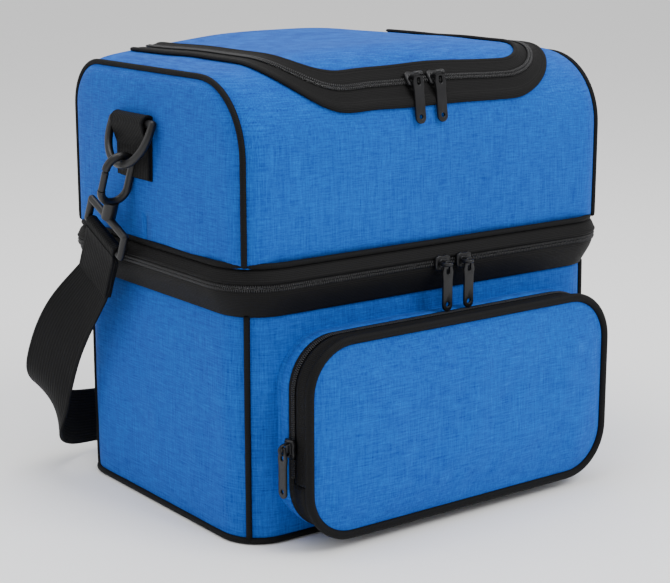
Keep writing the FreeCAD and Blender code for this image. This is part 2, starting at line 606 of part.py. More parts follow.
def section(points, index, thickness, width):
    """Rectangle across the webbing at one station."""
    centre, across = points[index]
    before = points[max(index - 1, 0)][0]
    after = points[min(index + 1, len(points) - 1)][0]
    along = (after - before).normalize()
    across = (across - along * across.dot(along)).normalize()
    normal = along.cross(across)
    corners = []
    for a, b in ((-1, -1), (1, -1), (1, 1), (-1, 1)):
        corners.append(centre + across * (a * width / 2) + normal * (b * thickness / 2))
    return Part.makePolygon(corners + corners[:1])


def make_strap():
    half = strap_stations()
    other = [(Vector(-p.x, p.y, p.z), Vector(-w.x, w.y, w.z)) for p, w in reversed(half[:-1])]
    points = half + other
    wires = [section(points, index, size("web_thick"), size("web_width")) for index in range(len(points))]
    webbing = doc.addObject("Part::Feature", "strap_solid")
    webbing.Shape = Part.makeLoft(wires, True, True)
    node(webbing, "strap_webbing")
    y, z = "lower_depth / 2 + 22", "web_width / 2 + 4"
    gap = "web_thick / 2 + web_gap"
    frame = box("adjuster_outer", "0 - 14", y + " - (" + gap + ") - adjuster_wire", z + " - adjuster_half",
                "28", "2 * (" + gap + ") + 2 * adjuster_wire", "2 * adjuster_half")
    bore = box("adjuster_bore", "0 - 20", y + " - (" + gap + ")", z + " - web_width / 2 - web_gap",
               "40", "2 * (" + gap + ")", "web_width + 2 * web_gap")
    node(cut("adjuster_solid", frame, bore), "strap_adjuster")


def make_fittings():
    for side, word in ((-1, "left"), (1, "right")):
        make_tab(side, word)
        make_ring(side, word)
        make_hook(side, word)


def export():
    doc.recompute()
    os.makedirs("parts", exist_ok=True)
    bad = [item.Name for item in doc.Objects if "Invalid" in item.State or "Error" in item.State]
    for item in nodes:
        if item.Shape.isNull() or not item.Shape.isValid() or not item.Shape.Solids:
            bad.append(item.Label)
    if bad:
        print("failed:", bad)
        sys.exit(1)
    for item in nodes:
        item.Shape.exportStep(os.path.join("parts", item.Label + ".step"))
    print(len(nodes), "nodes written")


make_lower()
make_band()
make_upper()
make_pocket()
make_sliders()
make_fittings()
make_strap()
export()
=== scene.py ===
import json
import math

import bmesh
import bpy
from mathutils import Matrix, Quaternion, Vector, noise
from mathutils.bvhtree import BVHTree


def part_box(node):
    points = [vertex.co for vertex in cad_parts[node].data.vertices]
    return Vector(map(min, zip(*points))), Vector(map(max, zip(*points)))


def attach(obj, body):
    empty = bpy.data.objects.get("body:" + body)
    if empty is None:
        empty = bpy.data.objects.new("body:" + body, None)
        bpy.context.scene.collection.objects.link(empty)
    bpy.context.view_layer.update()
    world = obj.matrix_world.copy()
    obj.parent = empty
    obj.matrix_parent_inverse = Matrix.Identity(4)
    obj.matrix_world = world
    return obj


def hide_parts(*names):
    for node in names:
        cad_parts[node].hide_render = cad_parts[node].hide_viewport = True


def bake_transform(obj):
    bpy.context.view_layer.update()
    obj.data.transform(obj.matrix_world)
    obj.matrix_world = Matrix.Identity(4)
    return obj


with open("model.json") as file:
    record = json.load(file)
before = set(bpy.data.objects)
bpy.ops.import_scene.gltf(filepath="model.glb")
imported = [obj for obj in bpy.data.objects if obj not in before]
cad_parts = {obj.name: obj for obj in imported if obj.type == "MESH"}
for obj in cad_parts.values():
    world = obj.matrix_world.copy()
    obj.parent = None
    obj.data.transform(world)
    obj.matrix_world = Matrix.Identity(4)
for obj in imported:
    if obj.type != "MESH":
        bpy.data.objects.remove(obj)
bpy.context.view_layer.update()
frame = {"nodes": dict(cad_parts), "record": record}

# Insulated cooler bag: fabric shells over foam, three zips, a front pocket and a shoulder strap.
# Lengths are metres; MM turns a tailor's millimetres into them.

MM = 0.001
LOWER_X = -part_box("lower_left_panel")[0].x
LOWER_Y = -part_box("lower_front_panel")[0].y
LOWER_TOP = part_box("lower_front_panel")[1].z
LOWER_CORNER = 25 * MM
UPPER_X = -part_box("upper_left_panel")[0].x
UPPER_Y = -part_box("upper_wrap_panel")[0].y
UPPER_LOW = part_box("mid_binding")[1].z
UPPER_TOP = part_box("lid_panel")[1].z
UPPER_CORNER = 19 * MM
FRONT_ROUND = 47 * MM
BACK_ROUND = 33 * MM
CROWN = 13 * MM
SHELL_CLOTH = 1.4 * MM
WEB_HALF = 19 * MM
WEB_THICK = 1.8 * MM
HOOK_LEAN = math.radians(25)
SPLIT = (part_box("mid_coil_lower")[1].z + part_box("mid_coil_upper")[0].z) / 2
BAND_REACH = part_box("mid_coil_upper")[1].x - LOWER_X
BAND_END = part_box("mid_coil_upper")[1].y
JOINTS = {joint["name"]: joint for joint in frame["record"]["behaviour"]["joints"]}


def pivot(name):
    """A point on a hinge's axis, at rest."""
    return Vector(JOINTS[name]["pos_m"])


# ---- camera, floor and light

def camera():
    eye = Vector((-0.6512, -0.8691, 0.3705))
    aim = Vector((-0.0027, 0.0, 0.1197))
    data = bpy.data.cameras.new("camera")
    data.lens = 89.6
    view = bpy.data.objects.new("camera", data)
    view.location = eye
    view.rotation_euler = (aim - eye).to_track_quat("-Z", "Y").to_euler()
    bpy.context.collection.objects.link(view)
    bpy.context.scene.camera = view


def soft_light(name, place, aim, width, power):
    data = bpy.data.lights.new(name, "AREA")
    data.size = width
    data.energy = power
    lamp = bpy.data.objects.new(name, data)
    lamp.location = place
    lamp.rotation_euler = (Vector(aim) - Vector(place)).to_track_quat("-Z", "Y").to_euler()
    bpy.context.collection.objects.link(lamp)


def studio():
    bpy.ops.mesh.primitive_plane_add(size=12)
    floor = bpy.context.object
    floor.name = "floor"
    paper = bpy.data.materials.new("floor_paper")
    paper.use_nodes = True
    shader = paper.node_tree.nodes["Principled BSDF"]
    shader.inputs["Base Color"].default_value = (0.93, 0.93, 0.93, 1)
    shader.inputs["Roughness"].default_value = 0.85
    floor.data.materials.append(paper)
    world = bpy.data.worlds.new("studio")
    bpy.context.scene.world = world
    world.use_nodes = True
    world.node_tree.nodes["Background"].inputs["Color"].default_value = (1, 1, 1, 1)
    world.node_tree.nodes["Background"].inputs["Strength"].default_value = 0.95
    soft_light("key", (0.5, -1.3, 1.5), (0, 0, 0.15), 0.9, 24)
    soft_light("top", (-0.2, 0.1, 1.6), (0, 0, 0.2), 1.0, 14)
    soft_light("rim", (-1.4, 0.5, 0.8), (0, 0, 0.15), 0.7, 4)


# ---- materials

class Link:
    """A shader socket or number that can be used in arithmetic; each operation adds a Math node."""

    def __init__(self, paint, socket):
        self.paint = paint
        self.socket = socket

    def _do(self, operation, other, flipped=False):
        pair = (other, self) if flipped else (self, other)
        return self.paint.node("ShaderNodeMath", {"operation": operation}, {0: pair[0], 1: pair[1]})

    def __add__(self, other):
        return self._do("ADD", other)

    __radd__ = __add__

    def __sub__(self, other):
        return self._do("SUBTRACT", other)

    def __rsub__(self, other):
        return self._do("SUBTRACT", other, flipped=True)

    def __mul__(self, other):
        return self._do("MULTIPLY", other)

    __rmul__ = __mul__

    def sine(self):
        return self.paint.node("ShaderNodeMath", {"operation": "SINE"}, {0: self})

    def clamp(self, low, high):
        return self.paint.node("ShaderNodeClamp", {}, {"Value": self, "Min": low, "Max": high})


class Paint:
    """One material and its nodes."""

    def __init__(self, name, **constants):
        self.material = bpy.data.materials.new(name)
        self.material.use_nodes = True
        self.tree = self.material.node_tree
        self.shader = self.tree.nodes["Principled BSDF"]
        for socket, value in constants.items():
            self.shader.inputs[socket.replace("_", " ")].default_value = value

    def node(self, kind, settings, inputs, output=0):
        made = self.tree.nodes.new(kind)
        for name, value in settings.items():
            setattr(made, name, value)
        for key, value in inputs.items():
            if isinstance(value, Link):
                self.tree.links.new(value.socket, made.inputs[key])
            else:
                made.inputs[key].default_value = value
        return Link(self, made.outputs[output])

    def place(self, scale=(1, 1, 1)):
        """Object coordinates, stretched."""
        where = self.node("ShaderNodeTexCoord", {}, {}, "Object")
        return self.node("ShaderNodeMapping", {}, {"Vector": where, "Scale": scale})

    def grain(self, scale, detail=2.0, roughness=0.5):
        inputs = {"Vector": self.place(scale), "Scale": 1.0, "Detail": detail, "Roughness": roughness}
        return self.node("ShaderNodeTexNoise", {}, inputs)

    def attribute(self, name):
        return self.node("ShaderNodeAttribute", {"attribute_name": name}, {}, "Fac")

    def mix(self, factor, first, second):
        made = self.tree.nodes.new("ShaderNodeMix")
        made.data_type = "RGBA"
        for socket, value in (("Factor_Float", factor), ("A_Color", first), ("B_Color", second)):
            target = next(item for item in made.inputs if item.identifier == socket)
            if isinstance(value, Link):
                self.tree.links.new(value.socket, target)
            else:
                target.default_value = value
        return Link(self, next(item for item in made.outputs if item.identifier == "Result_Color"))

    def feed(self, **inputs):
        for socket, value in inputs.items():
            self.tree.links.new(value.socket, self.shader.inputs[socket.replace("_", " ")])

    def bump(self, height, strength, distance):
        inputs = {"Height": height, "Strength": strength, "Distance": distance}
        self.feed(Normal=self.node("ShaderNodeBump", {}, inputs))


def heather_fabric():
    """Blue polyester with lighter and darker slubs running both ways and a fine plain weave."""
    paint = Paint("heather_blue_fabric", Sheen_Weight=0.02, Sheen_Roughness=0.5, Specular_IOR_Level=0.15)
    along = paint.grain((90, 90, 1500), detail=3.0)
    upright = paint.grain((1300, 1300, 80), detail=3.0)
    speck = paint.grain((900, 900, 900), detail=2.0)
    cloud = paint.grain((9, 9, 9), detail=2.0)
    tone = (along * 0.38 + upright * 0.34 + speck * 0.2 + cloud * 0.08 - 0.36) * 3.4
    tone = tone.clamp(0.0, 1.0)
    dark = (0.001, 0.040, 0.26, 1)
    light = (0.006, 0.125, 0.52, 1)
    upright_threads, cross_threads, deep_threads = [
        paint.node("ShaderNodeTexWave", {"bands_direction": way}, {"Vector": paint.place(), "Scale": 380.0})
        for way in "ZXY"]
    threads = upright_threads + cross_threads + deep_threads
    paint.feed(Base_Color=paint.mix(tone, dark, light), Roughness=0.78 + speck * 0.14)
    paint.bump(threads * 0.3 + along * 0.5 + upright * 0.5, 0.35, 0.0005)
    return paint.material


def woven_black(name, base, light, ribs, pitch, strength):
    """Black narrow cloth whose ribs follow the piece: across for webbing, along for tape."""
    paint = Paint(name, Specular_IOR_Level=0.1, Sheen_Weight=0.0)
    wave = (paint.attribute(ribs) * (2 * math.pi / pitch)).sine() * 0.5 + 0.5
    fine = (paint.attribute("along") * (2 * math.pi / 0.0011)).sine() * 0.5 + 0.5
    dust = paint.grain((700, 700, 700), detail=3.0)
    cloud = paint.grain((30, 30, 30), detail=2.0)
    tone = (wave * 0.45 + fine * 0.15 + dust * 0.3 + cloud * 0.2).clamp(0.0, 1.0)
    paint.feed(Base_Color=paint.mix(tone, base, light), Roughness=0.5 + dust * 0.3)
    paint.bump(wave * 0.7 + fine * 0.25 + dust * 0.2, strength, 0.0006)
    return paint.material


def moulded(name, base, light, rough, metal=0.0):
    """Cast or moulded hardware: an even skin, faintly pitted and a little rubbed."""
    paint = Paint(name, Metallic=metal, Specular_IOR_Level=0.35)
    pits = paint.grain((1400, 1400, 1400), detail=3.0)
    wear = paint.grain((120, 120, 120), detail=4.0)
    paint.feed(Base_Color=paint.mix((wear * 0.7 + pits * 0.3).clamp(0.0, 1.0), base, light),
               Roughness=rough + wear * 0.18 - 0.05)
    paint.bump(pits, 0.12, 0.0002)
    return paint.material


def foil_lining():
    """Silver grey lining with a soft crinkle and a fine grain showing through."""
    paint = Paint("silver_lining", Metallic=0.35, Specular_IOR_Level=0.5)
    crinkle = paint.grain((160, 160, 160), detail=5.0, roughness=0.6)
    fine = paint.grain((1200, 1200, 1200), detail=2.0)
    paint.feed(Base_Color=paint.mix(crinkle.clamp(0.0, 1.0), (0.42, 0.44, 0.46, 1), (0.75, 0.77, 0.79, 1)),
               Roughness=0.3 + crinkle * 0.25)
    paint.bump(crinkle + fine * 0.2, 0.5, 0.001)
    return paint.material


def foam_stuff():
    """White cellular foam, dull and finely pitted."""
    paint = Paint("insulation_foam", Specular_IOR_Level=0.2)
    cells = paint.node("ShaderNodeTexVoronoi", {}, {"Vector": paint.place(), "Scale": 900.0})
    cloud = paint.grain((60, 60, 60), detail=3.0)
    tone = (cells * 0.6 + cloud * 0.4).clamp(0.0, 1.0)
    paint.feed(Base_Color=paint.mix(tone, (0.78, 0.79, 0.80, 1), (0.90, 0.90, 0.91, 1)),
               Roughness=0.75 + cloud * 0.2)
    paint.bump(cells, 0.4, 0.0006)
    return paint.material


# ---- mesh tools

def finish_mesh(bm, name, material):
    """Turns finished bmesh work into a smooth-shaded object."""
    bmesh.ops.recalc_face_normals(bm, faces=bm.faces)
    for face in bm.faces:
        face.smooth = True
    data = bpy.data.meshes.new(name)
    bm.to_mesh(data)
    bm.free()
    piece = bpy.data.objects.new(name, data)
    bpy.context.collection.objects.link(piece)
    data.materials.append(material)
    return piece


def loft(name, rings, material, close_ring=True, close_path=False, caps=False):
    """Skin through a row of rings with the same number of points: a grid laid over them.

    The vertices carry how far along the row and how far round the ring they are, in metres."""
    rows = rings + rings[:1] if close_path else rings
    columns = len(rings[0]) if close_ring else len(rings[0]) - 1
    bm = bmesh.new()
    bmesh.ops.create_grid(bm, x_segments=columns, y_segments=len(rows) - 1, size=0.5)
    along = bm.verts.layers.float.new("along")
    across = bm.verts.layers.float.new("across")
    count = len(rings[0])
    walked = [0.0]
    for before, ring in zip(rows, rows[1:]):
        walked.append(walked[-1] + sum((b - a).length for a, b in zip(before, ring)) / count)
    widths = [0.0]
    middle = rows[len(rows) // 2]
    for index in range(columns):
        widths.append(widths[-1] + (middle[(index + 1) % count] - middle[index]).length)
    for vert in bm.verts:
        column = round((vert.co.x + 0.5) * columns)
        row = round((vert.co.y + 0.5) * (len(rows) - 1))
        vert.co = rows[row][column % count]
        vert[along] = walked[row]
        vert[across] = widths[column]
    bmesh.ops.remove_doubles(bm, verts=bm.verts, dist=1e-6)
    if caps:
        bmesh.ops.holes_fill(bm, edges=[edge for edge in bm.edges if edge.is_boundary], sides=0)
    return finish_mesh(bm, name, material)


def in_mm(pairs, x=0, y=0):
    """Millimetre pairs as metres, counted from a point."""
    return [(x + a * MM, y + b * MM) for a, b in pairs]


def arc(centre, radius, start, end, steps):
    """Flat points round a centre, angles in degrees."""
    points = []
    for step in range(steps + 1):
        angle = math.radians(start + (end - start) * step / steps)
        points.append((centre[0] + radius * math.cos(angle), centre[1] + radius * math.sin(angle)))
    return points


def spread(points, gap):
    """The same outline with its long stretches divided, so that no two points are far apart."""
    result = []
    for (ax, ay), (bx, by) in zip(points, points[1:]):
        parts = max(1, round(math.hypot(bx - ax, by - ay) / gap))
        result += [(ax + (bx - ax) * k / parts, ay + (by - ay) * k / parts) for k in range(parts)]
    return result + points[-1:]


def rounded_outline(half_x, half_y, radius, steps=10):
    """Closed rounded rectangle, anticlockwise from the middle of its far side, where it also ends."""
    x, y = half_x - radius, half_y - radius
    return ([(0.0, half_y)] + arc((-x, y), radius, 90, 180, steps) + arc((-x, -y), radius, 180, 270, steps) +
            arc((x, -y), radius, 270, 360, steps) + arc((x, y), radius, 0, 90, steps) + [(0.0, half_y)])


def sides_of(points, closed):
    """Outward unit normals of a flat anticlockwise outline."""
    result = []
    count = len(points)
    for index in range(count):
        before = points[(index - 1) % count] if closed else points[max(index - 1, 0)]
        after = points[(index + 1) % count] if closed else points[min(index + 1, count - 1)]
        dx, dy = after[0] - before[0], after[1] - before[1]
        size = math.hypot(dx, dy) or 1.0
        result.append((dy / size, -dx / size))
    return result


def tube_section(radius, points=10):
    turns = [2 * math.pi * k / points for k in range(points)]
    return [(radius * math.cos(turn), radius * math.sin(turn)) for turn in turns]


def swept(name, path, outs, ups, section, material, closed=False, closed_section=True, caps=True):
    """A section of (outward, upward) offsets carried along a path."""
    rings = [[p + out * a + up * b for a, b in section] for p, out, up in zip(path, outs, ups)]
    return loft(name, rings, material, close_ring=closed_section, close_path=closed, caps=caps and not closed)


def add_modifier(piece, kind, **settings):
    modifier = piece.modifiers.new(kind.lower(), kind)
    for key, value in settings.items():
        setattr(modifier, key, value)
    return modifier


def smooth_more(piece, levels=1):
    add_modifier(piece, "SUBSURF", levels=levels, render_levels=levels)
    return piece


def baked(piece):
    """Applies the piece's modifiers to its mesh."""
    graph = bpy.context.evaluated_depsgraph_get()
    graph.update()
    data = bpy.data.meshes.new_from_object(piece.evaluated_get(graph))
    old = piece.data
    piece.modifiers.clear()
    piece.data = data
    bpy.data.meshes.remove(old)
    return piece


def thick(piece, depth):
    """Gives a skin its thickness, on its inner side."""
    add_modifier(piece, "SOLIDIFY", thickness=depth, offset=-1.0, use_even_offset=True)
    return piece


def joined(name, items, body, replaced=()):
    """Several made pieces become one; it rides on a body and stands for its CAD nodes."""
    target = items[0]
    bm = bmesh.new()
    for item in items:
        if item.modifiers:
            baked(item)
        bm.from_mesh(item.data)
    bm.to_mesh(target.data)
    bm.free()
    for item in items[1:]:
        bpy.data.objects.remove(item)
    target.name = name
    return settle(target, body, replaced)


def settle(piece, body, replaced=()):
    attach(piece, body)
    if replaced:
        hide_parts(*replaced)
    return piece


def ruffle(place, amount, scale=38.0, seed=0.0):
    """A soft, repeatable unevenness of cloth."""
    return amount * noise.noise(place * scale + Vector((seed, seed * 1.7, seed * 0.6)))


# ---- lower compartment

def lower_outline(grow):
    return spread(rounded_outline(LOWER_X + grow, LOWER_Y + grow, LOWER_CORNER + grow), 6 * MM)[:-1]


def lower_point(x, y, out, height, proud=0.0):
    """A point of the lower wall: the panels swell a little between their seams."""
    share = height / LOWER_TOP
    swell = 2.2 * MM * math.sin(math.pi * min(max(share, 0.0), 1.0)) ** 0.8
    flat = max(abs(out[0]), abs(out[1])) ** 6
    span = (1 - (x / LOWER_X) ** 2) if abs(out[1]) > abs(out[0]) else (1 - (y / LOWER_Y) ** 2)
    place = Vector((x, y, height))
    wave = ruffle(place, 1.5 * MM, 24.0, 3.0) + ruffle(place, 0.5 * MM, 70.0, 5.0)
    push = swell * (0.25 + 0.75 * flat * max(span, 0.0))
    push = push + wave * flat * math.sin(math.pi * min(share, 1.0)) ** 0.5 + proud
    return Vector((x + out[0] * push, y + out[1] * push, height))


def lower_shell(fabric, piping):
    outline = lower_outline(0.0)
    outs = sides_of(outline, True)
    heights = [0.4 * MM + (LOWER_TOP - 0.4 * MM) * k / 26 for k in range(27)]
    rings = [[lower_point(x, y, out, z) for (x, y), out in zip(outline, outs)] for z in heights]
    wall = loft("lower_shell", rings, fabric)
    thick(wall, SHELL_CLOTH)
    smooth_more(wall)
    settle(baked(wall), "lower",
           ("lower_front_panel", "lower_back_panel", "lower_left_panel", "lower_right_panel"))
    foot_piping(piping)
    corner_piping(piping)


def foot_piping(piping):
    foot = spread(rounded_outline(LOWER_X + 0.4 * MM, LOWER_Y + 0.4 * MM, LOWER_CORNER), 5 * MM)[:-1]
    path = [Vector((x, y, 2.2 * MM)) for x, y in foot]
    outs = [Vector((a, b, 0)) for a, b in sides_of(foot, True)]
    ups = [Vector((0, 0, 1))] * len(path)
    welt = swept("base_piping_cord", path, outs, ups, tube_section(2.1 * MM), piping, closed=True)
    settle(smooth_more(welt), "lower", ("base_piping",))


def corner_piping(piping):
    """Four upright cords over the corner seams, made as one piece."""
    seams = []
    steps = 30
    turn = math.radians(43)
    for side_x in (-1, 1):
        for side_y in (-1, 1):
            x = side_x * (LOWER_X - LOWER_CORNER + LOWER_CORNER * math.cos(turn))
            y = side_y * (LOWER_Y - LOWER_CORNER + LOWER_CORNER * math.sin(turn))
            out = Vector((side_x * math.cos(turn), side_y * math.sin(turn), 0))
            across = Vector((-out.y, out.x, 0))
            heights = [2 * MM + (LOWER_TOP - 2 * MM) * k / steps for k in range(steps + 1)]
            path = [lower_point(x, y, out, height, 0.7 * MM) for height in heights]
            outs, ups = [out] * len(path), [across] * len(path)
            seams.append(swept("seam", path, outs, ups, tube_section(1.9 * MM), piping))
    joined("lower_corner_piping_cord", seams, "lower", ("lower_corner_piping",))


# ---- upper compartment

EDGE_DROP = 9 * MM


def profile(inset, top, trim):
    """Side outline of the upper compartment, from the front foot over the top to the back foot, as (y, z)."""
    front = max(UPPER_Y - inset, 0.4 * MM)
    low = UPPER_LOW - 1 * MM
    room = min(front - 0.2 * MM, top - low - 1 * MM)
    front_r = min(max(FRONT_ROUND - trim, 6 * MM), room)
    back_r = min(max(BACK_ROUND - trim, 6 * MM), room)
    points = [(-front, low + (top - front_r - low) * k / 12) for k in range(12)]
    points += arc((-front + front_r, top - front_r), front_r, 180, 90, 12)
    a, b = -front + front_r, front - back_r
    points += [(a + (b - a) * k / 16, top) for k in range(1, 16)]
    points += arc((b, top - back_r), back_r, 90, 0, 10)
    points += [(front, top - back_r + (low - top + back_r) * k / 12) for k in range(1, 13)]
    return points


def upper_stations():
    """(x, inset, drop) from the middle of the left end panel to the middle of the right one."""
    half = []
    for inset in (100.6, 94, 80, 64, 48, 36, 27):
        half.append((UPPER_X, inset * MM, (inset - 20 + EDGE_DROP / MM) * MM))
    for step in range(8):
        turn = math.radians(90 * step / 7)
        rest = 1 - math.sin(turn)
        half.append((UPPER_X - UPPER_CORNER * (1 - math.cos(turn)), UPPER_CORNER * rest, EDGE_DROP * rest))
    inner = UPPER_X - UPPER_CORNER
    left = [(-x, inset, drop) for x, inset, drop in half]
    middle = [(-inner + 2 * inner * k / 30, 0.0, 0.0) for k in range(1, 30)]
    return left + middle + [(x, inset, drop) for x, inset, drop in reversed(half)]


def upper_ring(x, inset, drop, proud=0.0):
    top = UPPER_TOP - CROWN * (x / UPPER_X) ** 2 - drop
    ring = []
    for y, z in profile(inset - proud, top + proud, (inset + drop) / 2 - proud):
        place = Vector((x, y, z))
        flat_end = max(0.0, min(1.0, (inset - UPPER_CORNER) / (30 * MM)))
        edge_fade = math.sin(math.pi * max(0.0, min(1.0, (z - UPPER_LOW) / (110 * MM) + 0.12)) * 0.5) ** 0.5
        bulge = 2.0 * MM + ruffle(place, 1.4 * MM, 26.0, 1.0) + ruffle(place, 0.45 * MM, 75.0, 2.0)
        if inset >= UPPER_CORNER:
            place.x += math.copysign(1.0, x) * (bulge * flat_end + proud)
        else:
            fade = max(0.0, 1 - inset / (6 * MM)) * edge_fade
            middle = Vector((x, 0.0, UPPER_TOP - 70 * MM))
            way = Vector((0, place.y - middle.y, place.z - middle.z)).normalized()
            place += way * ruffle(place, 1.3 * MM, 24.0, 1.0) * fade
            place.x += math.copysign(1.0, x) * proud * 0.7 if inset > 2 * MM else 0.0
        ring.append(place)
    return ring


def upper_hull(name, material, proud=0.0):
    rings = [upper_ring(x, inset, drop, proud) for x, inset, drop in upper_stations()]
    return loft(name, rings, material, close_ring=False)


def part_at_lid(hull, depth):
    """Thickens a hull and parts it along the lid's edge; the hull keeps the body's share."""
    lid = hull.copy()
    lid.data = hull.data.copy()
    bpy.context.collection.objects.link(lid)
    for piece in (hull, lid):
        thick(piece, depth)
        baked(piece)
    cut_with(hull, lid_cutter(LID_LAP), "DIFFERENCE")
    cut_with(lid, lid_cutter(-LID_LAP), "INTERSECT")
    return lid


def lining(name, proud, depth, material, node, lid_node):
    """A layer that follows the shell on its inside, split along the lid like the shell itself."""
    hull = upper_hull(name, material, proud)
    lid = part_at_lid(hull, depth)
    settle(hull, "upper", (node,))
    lid.name = name + "_of_lid"
    settle(lid, "lid", (lid_node,))


# ---- lid outline on the top

LID_HINGE = pivot("lid_open")
LID_HALF = (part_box("lid_coil_body")[1].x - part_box("lid_coil_body")[0].x) / 2 - 2.3 * MM
LID_REACH = 153 * MM
LID_CORNER = 42 * MM
LID_LAP = 4 * MM
LID_TILT = Quaternion((1, 0, 0), math.radians(25))


def lid_outline(grow, back=0.0):
    """Points of the lid's edge in its own plane, from the left leg's end to the right leg's end."""
    half = LID_HALF + grow
    front = -LID_REACH - grow
    radius = LID_CORNER + grow
    x = half - radius
    start = -back
    points = [(-half, start)] + arc((-x, front + radius), radius, 180, 270, 14)
    points += arc((x, front + radius), radius, 270, 360, 14) + [(half, start)]
    legs = [(-half, start + (front + radius - start) * k / 18) for k in range(18)]
    fronts = [(-x + 2 * x * k / 20, front) for k in range(1, 20)]
    right = [(half, front + radius + (start - front - radius) * k / 18) for k in range(1, 19)]
    return legs + points[1:16] + fronts + points[16:31] + right


def on_top(tree, u, v, lift=0.0):
    """The point of the upper shell that lies at (u, v) in the lid's plane, and its normal."""
    start = LID_HINGE + LID_TILT @ Vector((u, v, 0.09))
    down = LID_TILT @ Vector((0, 0, -1))
    hit, normal, _, _ = tree.ray_cast(start, down)
    if normal.dot(down) > 0:
        normal = -normal
    return hit + normal * lift, normal


def lid_cutter(grow):
    outline = lid_outline(grow)
    rings = []
    for height in (-40 * MM, 80 * MM):
        rings.append([LID_HINGE + LID_TILT @ Vector((u, v, height)) for u, v in outline])
    return loft("lid_cutter", rings, None, caps=True)


def cut_with(piece, cutter, operation):
    add_modifier(piece, "BOOLEAN", object=cutter, operation=operation, solver="EXACT")
    baked(piece)
    bpy.data.objects.remove(cutter)
    return piece


def conform(name, tree, offsets, material):
    """A ribbon on the top that follows the lid's edge; offsets are (outward, lift) pairs."""
    columns = [[on_top(tree, u, v, lift)[0] for u, v in lid_outline(grow)] for grow, lift in offsets]
    rings = [[column[index] for column in columns] for index in range(len(columns[0]))]
    return loft(name, rings, material, caps=True)


def upper_shell(fabric, piping):
    hull = upper_hull("upper_hull", fabric)
    tree = BVHTree.FromObject(hull, bpy.context.evaluated_depsgraph_get())
    lid = part_at_lid(hull, SHELL_CLOTH)
    hull.name = "upper_shell"
    settle(hull, "upper", ("upper_wrap_panel", "upper_left_panel", "upper_right_panel"))
    lid.name = "lid_shell"
    settle(lid, "lid", ("lid_panel",))
    for side, word in ((-1, "left"), (1, "right")):
        end_piping(side, word, piping)
    return tree


def end_piping(side, word, piping):
    """Cord over the seam between an end panel and the wrap, halfway round the rounded edge."""
    turn = math.radians(45)
    sideways = side * 0.7
    x = side * (UPPER_X - UPPER_CORNER * (1 - math.cos(turn)))
    inset = UPPER_CORNER * (1 - math.sin(turn))
    line = upper_ring(x, inset, EDGE_DROP * (1 - math.sin(turn)), 0.6 * MM)
    middle = Vector((x * 0.9, 0, UPPER_TOP - 80 * MM))
    rays = [Vector((sideways, (p - middle).y, (p - middle).z)).normalized() for p in line]
    outs = [Vector((sideways, ray.y, ray.z)).normalized() for ray in rays]
    ups = []
    for index, out in enumerate(outs):
        way = (line[min(index + 1, len(line) - 1)] - line[max(index - 1, 0)]).normalized()
        ups.append(way.cross(out).normalized())
    cord = swept("upper_piping_cord_" + word, line, outs, ups, tube_section(2.0 * MM), piping)
    settle(smooth_more(cord), "upper", ("upper_piping_" + word,))


# ---- zips

def teeth(name, path, outs, sides, side, material, pitch=1.35 * MM, width=2.3 * MM):
    """One half of a woven coil: a small rounded bead for each turn, lying across the path."""
    lengths = [0.0]
    for a, b in zip(path, path[1:]):
        lengths.append(lengths[-1] + (b - a).length)
    bm = bmesh.new()
    turns = int(lengths[-1] / pitch)
    index = 0
    for turn in range(turns):
        distance = (turn + (0.5 if side > 0 else 0.0)) * pitch
        while index < len(lengths) - 2 and lengths[index + 1] < distance:
            index += 1
        share = (distance - lengths[index]) / max(lengths[index + 1] - lengths[index], 1e-9)
        centre = path[index].lerp(path[index + 1], share)
        out = outs[index].lerp(outs[index + 1], share).normalized()
        across = sides[index].lerp(sides[index + 1], share).normalized()
        way = out.cross(across)
        centre = centre + across * side * width * 0.42
        frame_matrix = Matrix((way * 0.46 * MM, across * width * 0.55, out * 0.75 * MM)).transposed().to_4x4()
        frame_matrix.translation = centre
        bmesh.ops.create_icosphere(bm, subdivisions=1, radius=1.0, matrix=frame_matrix)
    return finish_mesh(bm, name, material)


def lid_zip(tree, tape, coil):
    """Tapes, folded lips and coil halves that follow the lid's edge."""
    outer_offsets = in_mm([(1.0, 0.2), (1.0, 1.2), (4, 1.5), (8.5, 1.5),
                           (9.0, 2.6), (11.5, 2.8), (12.6, 1.6), (12.6, -0.4)])
    outer = conform("lid_tape_outer", tree, outer_offsets, tape)
    settle(smooth_more(outer), "upper", ("lid_zip_tape_body",))
    inner_offsets = in_mm([(-0.6, 0.2), (-0.6, 1.2), (-4, 1.5), (-8.0, 1.5),
                           (-8.6, 2.4), (-10.4, 2.5), (-11.4, 1.4), (-11.4, -0.4)])
    inner = conform("lid_tape_inner", tree, inner_offsets, tape)
    settle(smooth_more(inner), "lid", ("lid_zip_tape_lid",))
    path, outs, sides = [], [], []
    outline = lid_outline(0.2 * MM, 4 * MM)
    wide = lid_outline(3 * MM, 4 * MM)
    for (u, v), (a, b) in zip(outline, wide):
        place, normal = on_top(tree, u, v, 1.7 * MM)
        beyond, _ = on_top(tree, a, b, 1.7 * MM)
        path.append(place)
        outs.append(normal)
        sides.append((beyond - place).normalized())
    for side, body, node in ((1, "upper", "lid_coil_body"), (-1, "lid", "lid_coil_lid")):
        settle(teeth(node + "_teeth", path, outs, sides, side, coil), body, (node,))


def band_path():
    """The zip band's line round the front and the sides, open at the back, with outward directions."""
    outline = spread(rounded_outline(LOWER_X, LOWER_Y, LOWER_CORNER), 5 * MM)[:-1]
    outs = sides_of(outline, True)
    kept = [(p, out) for p, out in zip(outline, outs) if p[1] < BAND_END]
    path = [Vector((p[0], p[1], 0)) for p, _ in kept]
    return path, [Vector((out[0], out[1], 0)) for _, out in kept]


